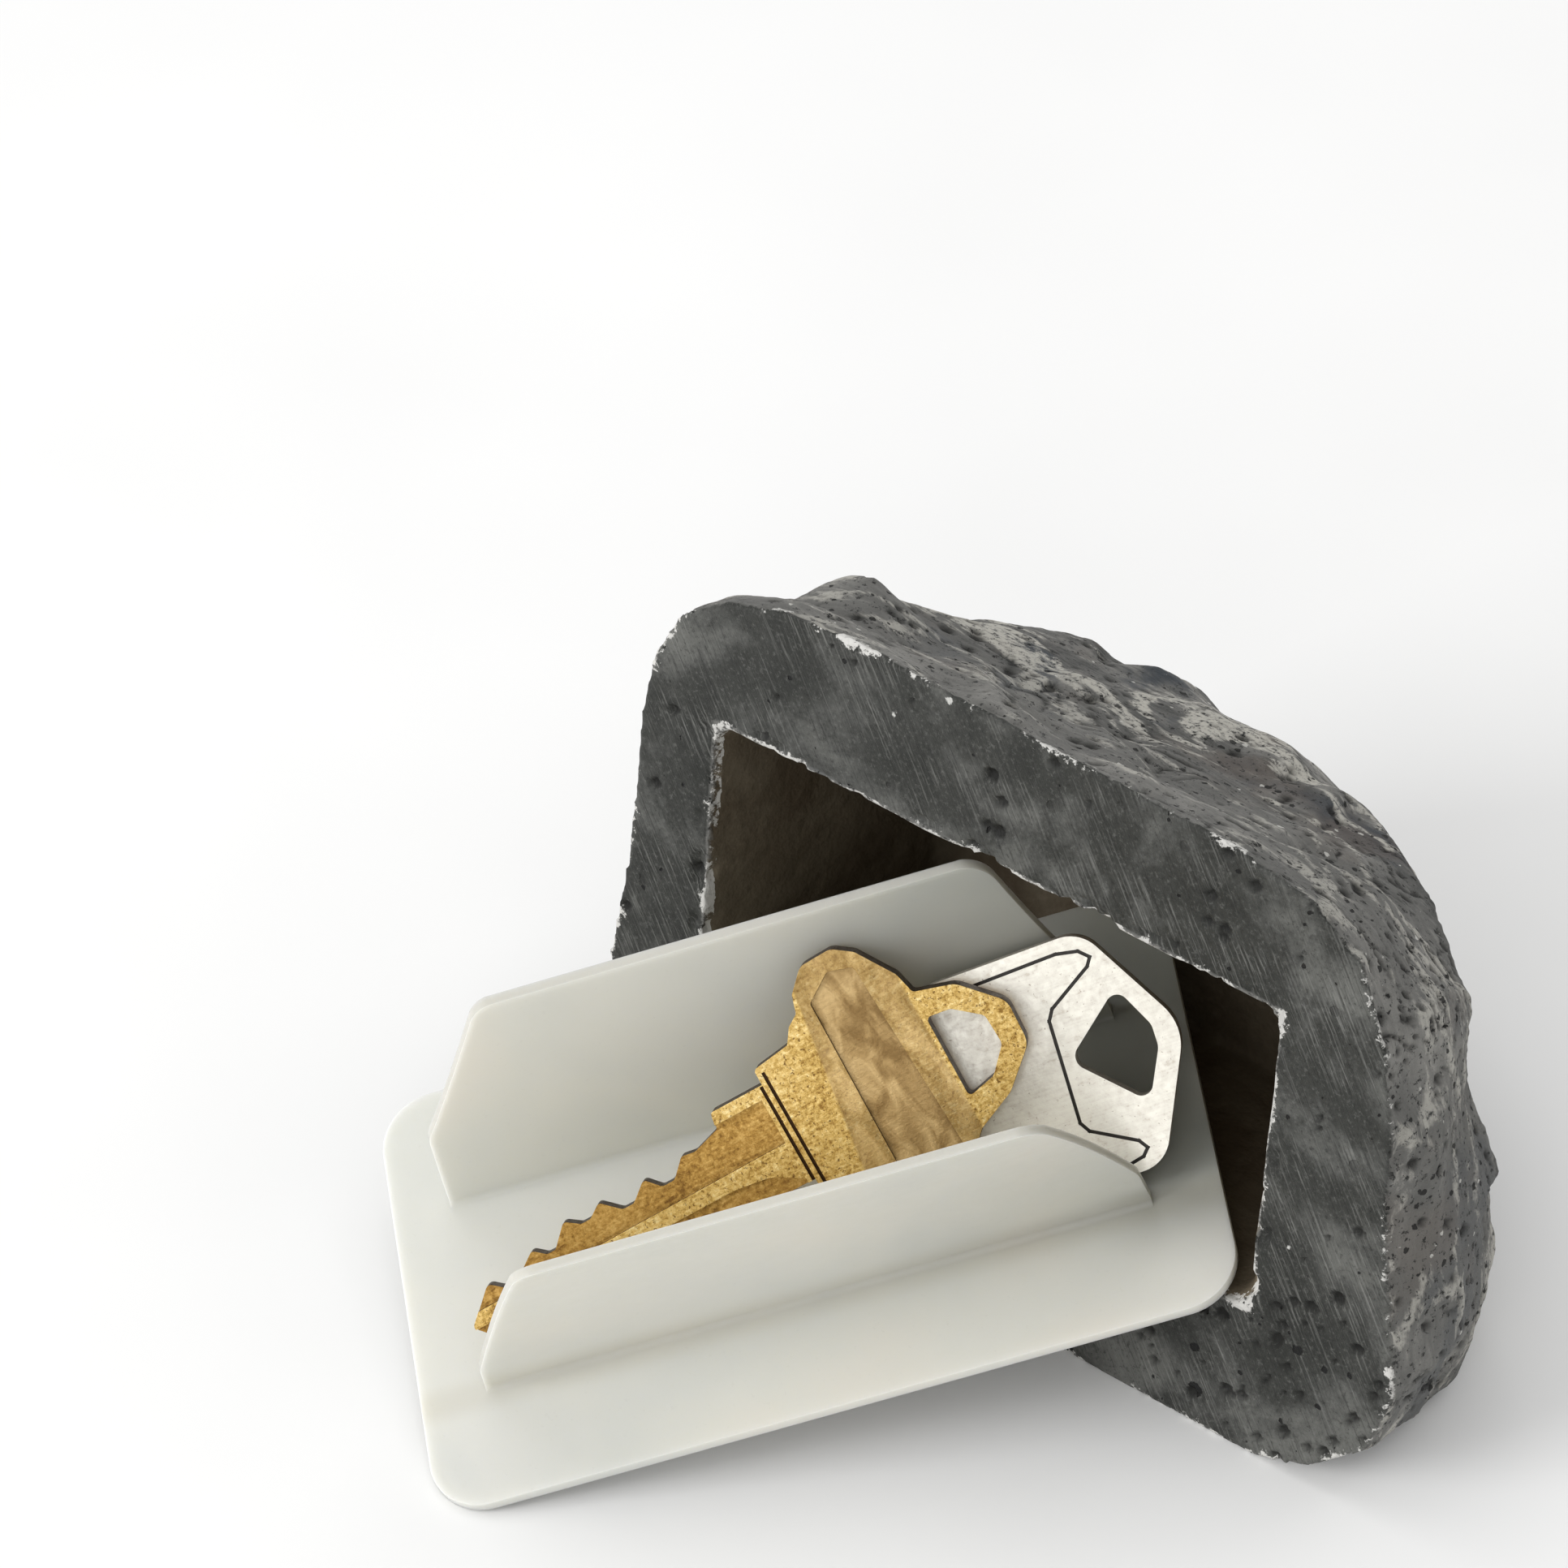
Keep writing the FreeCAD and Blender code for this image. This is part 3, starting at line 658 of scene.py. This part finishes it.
def sanded_base(n, level):
    """Colour, height and roughness of the sanded base: filler, scratches and burst bubbles."""
    sanding = n.placed(level, rotation=(0, 0, SANDING_ANGLE))
    scratch = n.noise(n.placed(sanding, scale=(0.16, 4.5, 1.0)), 1.0, 4, 0.72)
    long_scratch = n.noise(n.placed(sanding, scale=(0.04, 1.9, 0.5)), 1.0, 4, 0.6)
    scratched = n.span(n.noise(n.mm, 0.11, 3, 0.5), 0.42, 0.6)
    patch = n.noise(n.mm, 0.075, 7, 0.6, 0.35)
    colour = n.ramp(patch, *BASE_GREYS)
    fine = n.noise(n.mm, 2.4, 4, 0.75)
    colour = n.mix(n.span(fine, 0.52, 0.7, 0, 0.4), colour, FINE_GREY)
    colour = n.mix(n.span(fine, 0.47, 0.32, 0, 0.6), colour, FINE_BLACK)
    pale = n.times(n.span(scratch, 0.52, 0.66), scratched)
    colour = n.mix(n.times(pale, 0.5), colour, PALE_SCRATCH)
    dark = n.span(scratch, 0.46, 0.34, 0, 0.55)
    colour = n.mix(dark, colour, DARK_SCRATCH)
    colour = n.mix(n.span(long_scratch, 0.62, 0.74, 0, 0.4), colour, LONG_SCRATCH)
    ragged = n.warped(n.mm, 1.4, 0.55)
    bubbles = n.pits(ragged, 0.3, 0.55, 0.75)
    bubbles = n.times(bubbles, n.span(n.layer("crowded"), 0.1, 0.7, 0.35, 1.0))
    pins = n.pits(ragged, 0.55, 0.5, 0.32)
    holes = n.math("MAXIMUM", bubbles, pins)
    # painted shade in the burst bubbles and pinholes
    colour = n.mix(n.times(holes, 0.95), colour, BUBBLE_HOLE_SHADE)
    chips = n.pits(n.warped(n.mm, 2.6, 0.7), 0.2, 0.4, 0.5)
    colour = n.mix(n.times(chips, 0.85), colour, FILLER_CHIP)
    height = n.minus(n.times(scratch, 0.3), n.times(holes, 0.8))
    return colour, height, n.span(scratch, 0.35, 0.7, 0.5, 0.72)


def rock_material():
    n = Nodes("weathered_resin")
    base_face = n.layer("base_face")
    chamber = n.layer("chamber")
    rim = n.layer("rim")
    # the base's plane turned level, so that marks can be stretched along it
    level = n.placed(n.mm, rotation=(math.pi / 2 + BASE_LEAN, 0, 0))
    side, side_height, speckle = painted_side(n, level)
    base, base_height, base_rough = sanded_base(n, level)
    inside = n.ramp(n.noise(n.mm, 0.12, 4, 0.6, 0.6), *CHAMBER_BROWNS)
    colour = n.mix(base_face, side, base)
    colour = n.mix(chamber, colour, inside)
    colour = n.mix(n.times(n.layer("pore"), 0.85), colour, PORE_SHADE)
    # broken rims show the pale filler in a fine broken line
    crumb = n.noise(n.mm, 1.5, 5, 0.72)
    along = n.noise(n.mm, 0.2, 3, 0.6)
    rim_mark = n.plus(n.times(rim, 0.6), n.times(crumb, 1.2))
    rim_mark = n.plus(rim_mark, n.times(along, 1.3))
    chipped = n.times(n.span(rim_mark, 1.74, 1.84), n.span(rim, 0.1, 0.4))
    colour = n.mix(n.times(chipped, 0.9), colour, CHIPPED_RIM)
    n.set(Base_Color=colour)
    rough = n.mix(base_face, n.span(speckle, 0.3, 0.75, 0.62, 0.88), base_rough)
    n.set(Roughness=rough)
    n.shader.inputs["Specular IOR Level"].default_value = 0.2
    height = n.mix(base_face, side_height, base_height)
    height = n.mix(chamber, height, n.noise(n.mm, 0.5, 3, 0.5))
    n.set(Normal=n.bump(height, 0.5, 0.85))
    return n.material


# ------------------------------------------------------------------ tray

# In the tray frame, in millimetres: where a wing's cut edges start, and the near wing's root
WING_FOOT = 2.4
ROOT_LINE = 10.6
TRAY_EDGE = 0.18
SCATTER_REACH = 2.4

MILKY_TINTS = ((0.35, (0.63, 0.635, 0.6)), (0.5, (0.67, 0.665, 0.615)),
               (0.66, (0.71, 0.68, 0.615)))
TRAY_DUST = (0.5, 0.49, 0.45)
# Painted shade: at the trough's far end and on the plate past the near wing, along the near wing's
# root, and on the wings' cut edges
TRAY_PAINTED_SHADE = (0.2, 0.21, 0.18)
ROOT_PAINTED_SHADE = (0.42, 0.38, 0.28)
CUT_EDGE_PAINTED_SHADE = (0.4, 0.39, 0.35)


def tray_frame():
    """Tray frame in row-frame millimetres: x along the plate, y across it, z up."""
    corner = Vector(TRAY_CORNER) - Vector((ROCK_X, ROCK_Y, 0))
    turn = Matrix.Rotation(TRAY_PITCH, 4, "X") @ Matrix.Rotation(TRAY_YAW, 4, "Z")
    return Matrix.Translation(corner) @ turn


def moulded_tray():
    piece = copy_of_node("key_tray", "moulded_tray")
    bevel_edges(piece, TRAY_EDGE, 3, 50)
    smooth_by_angle(piece, 35)
    flatten_shading(piece)
    mesh = piece.data
    to_tray = tray_frame().inverted()
    across = tray_frame().to_3x3() @ Vector((0, 1, 0))
    # the wings' thin edges face along the plate or up, never across it
    cut = []
    for face in mesh.polygons:
        on_wing = (to_tray @ (face.center / MM)).z > WING_FOOT
        cut.append(float(on_wing and abs(face.normal.dot(across)) < 0.6))
    add_layer(mesh, "cut_edge", cut, "FACE")
    mesh.materials.append(tray_material())
    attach(piece, "tray")
    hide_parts("key_tray")


def tray_material():
    n = Nodes("milky_plastic")
    haze = n.noise(n.mm, 0.035, 3, 0.5, 0.4)
    tint = n.ramp(haze, *MILKY_TINTS)
    dust = n.span(n.noise(n.mm, 2.2, 2, 0.5), 0.66, 0.74, 0, 0.12)
    tint = n.mix(dust, tint, TRAY_DUST)
    flow = n.noise(n.placed(n.mm, rotation=(0, 0, -TRAY_YAW), scale=(0.05, 0.6, 0.6)), 1.0, 3, 0.5)
    along, across, up = n.axes(n.in_frame(tray_frame()))
    # painted shade, grey and green, towards the far end of the trough under the rock's mouth
    trough_shade = n.times(n.span(along, 30, 68), n.span(across, 6, 15))
    tint = n.mix(n.times(trough_shade, 0.58), tint, TRAY_PAINTED_SHADE)
    # and a painted shadow on the plate just past the near wing's end
    past_wing_shadow = n.times(n.span(along, 60, 69), n.span(across, 3, 11))
    past_wing_shadow = n.times(past_wing_shadow, n.span(up, 5, 2.5))
    tint = n.mix(n.times(past_wing_shadow, 0.4), tint, TRAY_PAINTED_SHADE)
    # and painted shade in the corner along the near wing's root
    root_shade = n.math("ABSOLUTE", n.minus(across, ROOT_LINE))
    root_shade = n.times(n.span(root_shade, 2.4, 0.3), n.span(up, 4.5, 1.5))
    tint = n.mix(n.times(root_shade, 0.2), tint, ROOT_PAINTED_SHADE)
    # painted shade on the wings' thin cut edges
    tint = n.mix(n.times(n.layer("cut_edge"), 0.6), tint, CUT_EDGE_PAINTED_SHADE)
    n.set(Base_Color=tint, Roughness=n.span(flow, 0.3, 0.7, 0.34, 0.5))
    n.shader.inputs["Subsurface Weight"].default_value = 0.85
    n.shader.inputs["Subsurface Radius"].default_value = (1.0, 0.97, 0.85)
    n.shader.inputs["Subsurface Scale"].default_value = SCATTER_REACH * MM
    n.shader.inputs["Specular IOR Level"].default_value = 0.4
    fine = n.times(n.noise(n.mm, 3.5, 2, 0.5), 0.06)
    grain = n.plus(n.noise(n.mm, 0.12, 2, 0.4), fine)
    n.set(Normal=n.bump(grain, 0.25, 0.35))
    return n.material


# ------------------------------------------------------------------ keys

def key_frame(x, row, turn, tilt, lift):
    """Key frame in row-frame millimetres: x along the blade, z through the thickness."""
    slope = Matrix.Translation(KEY_PIVOT) @ Matrix.Rotation(math.radians(tilt), 4, "X")
    flat = Matrix.Translation((x, row, lift)) @ Matrix.Rotation(math.radians(turn), 4, "Z")
    return tray_frame() @ slope @ flat


NICKEL_FRAME = key_frame(73.2, 12.0, 4.0, 37.5, 0.0)
BRASS_FRAME = key_frame(6.6, 5.9, 12.5, 40.5, 2.12)
NICKEL_EDGE = 0.07
BRASS_EDGE = 0.12

# The darker band across the brass key's head, in its key frame
BAND_SLANT = 0.14
BAND_LEFT = 37.5
BAND_RIGHT = 47.4
BAND_BLUR = 0.15

# Depths below a key's face, in millimetres, as rising and falling edges of each recess
PANEL_DEPTHS = (0.3, 0.33, 0.38, 0.42)
MILLED_DEPTHS = (0.44, 0.48, 0.52, 0.56)
BRASS_LINE_DEPTHS = (0.14, 0.18, 0.22, 0.26)
NICKEL_LINE_DEPTHS = (0.03, 0.08, 0.26, 0.32)
UPRIGHT_WALL = (0.75, 0.95)

BRASS_FACE = ((0.4, (0.3, 0.16, 0.035)), (0.46, (0.58, 0.37, 0.1)), (0.53, (0.8, 0.56, 0.2)),
              (0.62, (1.0, 0.82, 0.42)))
BRASS_MILLED = ((0.4, (0.2, 0.095, 0.02)), (0.5, (0.46, 0.26, 0.06)), (0.62, (0.72, 0.46, 0.15)))
BRASS_BAND = ((0.38, (0.27, 0.165, 0.06)), (0.52, (0.44, 0.29, 0.12)),
              (0.66, (0.64, 0.45, 0.21)))
BRASS_SIDE = ((0.38, (0.05, 0.018, 0.006)), (0.6, (0.2, 0.08, 0.025)))
BRASS_SPECK = (0.15, 0.07, 0.015)
BRASS_GRIME_AND_SHADE = (0.045, 0.02, 0.006)

NICKEL_FACE = ((0.36, (0.76, 0.7, 0.6)), (0.44, (0.9, 0.86, 0.77)), (0.56, (0.97, 0.94, 0.84)))
NICKEL_SIDE = ((0.35, (0.32, 0.28, 0.23)), (0.6, (0.6, 0.56, 0.5)))
NICKEL_SPECK = (0.3, 0.22, 0.15)
NICKEL_GRIME = (0.03, 0.026, 0.022)


def bevelled_key(node, name, body, width, place, material):
    """Copy of a key with worn edges; its faces know how deep they are sunk and how upright."""
    piece = copy_of_node(node, name)
    bevel_edges(piece, width, 2, 40)
    smooth_by_angle(piece, 50)
    flatten_shading(piece)
    to_key = place.inverted()
    up = place.to_3x3() @ Vector((0, 0, 1))
    mesh = piece.data
    walls = []
    sunk = []
    for face in mesh.polygons:
        walls.append(1 - abs(face.normal.dot(up)))
        sunk.append(KEY_THICKNESS - (to_key @ (face.center / MM)).z)
    add_layer(mesh, "wall", walls, "FACE")
    add_layer(mesh, "sunk", sunk, "FACE")
    mesh.materials.append(material)
    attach(piece, body)
    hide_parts(node)


def at_depth(n, sunk, depths):
    """1 where a key's face is sunk to between the given depths."""
    rise_from, rise_to, fall_from, fall_to = depths
    return n.times(n.span(sunk, rise_from, rise_to), n.span(sunk, fall_to, fall_from))


def brass_material():
    n = Nodes("worn_brass")
    key = n.in_frame(BRASS_FRAME)
    patina = n.noise(n.mm, 2.0, 6, 0.78, 0.3)
    cloud = n.noise(n.mm, 0.13, 4, 0.6)
    grain = n.noise(n.placed(key, scale=(0.35, 3.5, 3.5)), 1.0, 4, 0.65)
    tone = n.plus(n.times(patina, 0.6), n.times(cloud, 0.2))
    tone = n.plus(tone, n.times(grain, 0.2))
    face = n.ramp(tone, *BRASS_FACE)
    speck = n.span(n.noise(n.mm, 3.4, 3, 0.65), 0.42, 0.34, 0, 0.85)
    face = n.mix(speck, face, BRASS_SPECK)
    milled = n.ramp(tone, *BRASS_MILLED)
    wave = n.noise(n.placed(key, scale=(0.5, 0.22, 1.0)), 1.0, 3, 0.5, 0.8)
    band = n.ramp(wave, *BRASS_BAND)
    along, across, _ = n.axes(key)
    slanted = n.minus(along, n.times(across, BAND_SLANT))
    in_band = n.times(n.span(slanted, BAND_LEFT - BAND_BLUR, BAND_LEFT + BAND_BLUR),
                      n.span(along, BAND_RIGHT + BAND_BLUR, BAND_RIGHT - BAND_BLUR))
    sunk = n.layer("sunk")
    face = n.mix(at_depth(n, sunk, MILLED_DEPTHS), face, milled)
    face = n.mix(n.times(in_band, 0.7), face, band)
    face = n.mix(at_depth(n, sunk, PANEL_DEPTHS), face, band)
    wall = n.layer("wall")
    colour = n.mix(n.span(wall, *UPRIGHT_WALL), face, n.ramp(patina, *BRASS_SIDE))
    # grime in the stamped lines, and painted shade on the steps of the recesses
    step_shade = n.times(n.span(sunk, 0.03, 0.08), n.span(wall, 0.2, 0.6))
    grime_and_shade = n.math("MAXIMUM", at_depth(n, sunk, BRASS_LINE_DEPTHS), step_shade)
    colour = n.mix(grime_and_shade, colour, BRASS_GRIME_AND_SHADE)
    n.set(Base_Color=colour, Roughness=n.span(patina, 0.3, 0.7, 0.5, 0.3))
    n.shader.inputs["Metallic"].default_value = 0.8
    height = n.plus(n.noise(n.mm, 2.6, 4, 0.65), n.times(grain, 0.5))
    n.set(Normal=n.bump(height, 0.09, 0.7))
    return n.material


def nickel_material():
    n = Nodes("satin_nickel")
    key = n.in_frame(NICKEL_FRAME)
    wear = n.noise(n.mm, 1.3, 6, 0.72, 0.3)
    grain = n.noise(n.placed(key, rotation=(0, 0, 0.5), scale=(0.3, 4.0, 4.0)), 1.0, 4, 0.6)
    tone = n.plus(n.times(wear, 0.6), n.times(grain, 0.4))
    face = n.ramp(tone, *NICKEL_FACE)
    speck = n.span(n.noise(n.mm, 3.0, 3, 0.6), 0.34, 0.28, 0, 0.6)
    face = n.mix(speck, face, NICKEL_SPECK)
    colour = n.mix(n.span(n.layer("wall"), *UPRIGHT_WALL), face, n.ramp(wear, *NICKEL_SIDE))
    in_line = at_depth(n, n.layer("sunk"), NICKEL_LINE_DEPTHS)
    colour = n.mix(in_line, colour, NICKEL_GRIME)
    n.set(Base_Color=colour, Roughness=n.span(wear, 0.3, 0.7, 0.44, 0.3))
    n.shader.inputs["Metallic"].default_value = 0.4
    height = n.plus(n.noise(n.mm, 2.2, 4, 0.6), n.times(grain, 0.4))
    n.set(Normal=n.bump(height, 0.05, 0.5))
    return n.material


# ------------------------------------------------------------------ stage

CAMERA_PLACE = Vector((341.758 - ROCK_X, -336.018 - ROCK_Y, 514.529)) * MM
CAMERA_RIGHT = Vector((0.77197, 0.62989, -0.08544))
CAMERA_UP = Vector((-0.39746, 0.58321, 0.70844))
CAMERA_BACK = Vector((0.49608, -0.51294, 0.70058))
CAMERA_LENS = 180.36
SENSOR_WIDTH = 36.0

FLOOR_REACH = 3.0
FLOOR_TONES = ((0.3, (0.86, 0.86, 0.855)), (0.7, (0.89, 0.89, 0.885)))
WORLD_STRENGTH = 0.68
# Each light's name, place in metres, width in metres and power in watts; all look at the aim
LIGHT_AIM = Vector((0, 0, 0.03))
LIGHTS = (("key_light", (-0.48, -0.74, 0.42), 0.5, 5.4),
          ("front_light", (0.37, -0.76, 0.54), 0.4, 0.75),
          ("top_light", (-0.3, 0.15, 0.8), 0.5, 1.2),
          ("back_light", (0.3, 0.6, 0.7), 0.5, 0.8))


def add_camera():
    data = bpy.data.cameras.new("camera")
    data.lens = CAMERA_LENS
    data.sensor_width = SENSOR_WIDTH
    data.clip_start = 0.01
    data.clip_end = 20
    camera = bpy.data.objects.new("camera", data)
    bpy.context.scene.collection.objects.link(camera)
    turn = Matrix((CAMERA_RIGHT, CAMERA_UP, CAMERA_BACK)).transposed().to_4x4()
    camera.matrix_world = Matrix.Translation(CAMERA_PLACE) @ turn
    bpy.context.scene.camera = camera


def add_floor():
    mesh = bpy.data.meshes.new("floor")
    far = FLOOR_REACH
    mesh.from_pydata([(-far, -far, 0), (far, -far, 0), (far, far, 0), (-far, far, 0)], [],
                     [(0, 1, 2, 3)])
    floor = bpy.data.objects.new("floor", mesh)
    bpy.context.scene.collection.objects.link(floor)
    n = Nodes("pale_floor")
    n.set(Base_Color=n.ramp(n.noise(n.mm, 0.02, 2), *FLOOR_TONES), Roughness=0.8)
    mesh.materials.append(n.material)


def add_lights():
    world = bpy.data.worlds.new("studio")
    world.use_nodes = True
    background = world.node_tree.nodes["Background"]
    background.inputs["Color"].default_value = (1, 1, 1, 1)
    background.inputs["Strength"].default_value = WORLD_STRENGTH
    bpy.context.scene.world = world
    for name, place, size, power in LIGHTS:
        light = bpy.data.lights.new(name, "AREA")
        light.energy = power
        light.size = size
        lamp = bpy.data.objects.new(name, light)
        bpy.context.scene.collection.objects.link(lamp)
        lamp.location = place
        aim = LIGHT_AIM - Vector(place)
        lamp.rotation_euler = aim.to_track_quat("-Z", "Y").to_euler()


weathered_rock()
moulded_tray()
bevelled_key("nickel_key", "cut_nickel_key", "nickel", NICKEL_EDGE, NICKEL_FRAME,
             nickel_material())
bevelled_key("brass_key", "cut_brass_key", "brass", BRASS_EDGE, BRASS_FRAME,
             brass_material())
add_camera()
add_floor()
add_lights()
bpy.context.scene.view_settings.view_transform = "Standard"
